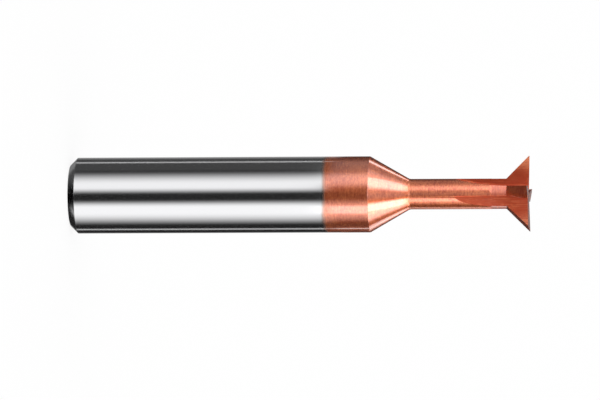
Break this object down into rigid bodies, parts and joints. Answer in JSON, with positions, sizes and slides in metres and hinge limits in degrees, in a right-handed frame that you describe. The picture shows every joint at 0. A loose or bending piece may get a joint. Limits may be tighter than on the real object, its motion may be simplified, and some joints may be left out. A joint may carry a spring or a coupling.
{
  "type": "dovetail cutter",
  "caption": "Solid-carbide dovetail milling cutter: round shank, cone, slim fluted neck and a flared head whose teeth cut a 45 degree undercut; copper-toned coating on the front half.",
  "frame": {"origin": "centre of the shank's end face, which the cutter stands on", "axes": "+Z along the axis from the shank towards the teeth; one tooth's face lies in the XZ plane and faces +Y"},
  "size_m": [0.01, 0.01, 0.0606],
  "materials": {
    "carbide": "ground and polished; the cone, neck and head carry a satin copper-coloured coating"
  },
  "bodies": {
    "root": {"cutter_body": "carbide"}
  },
  "joints": []
}
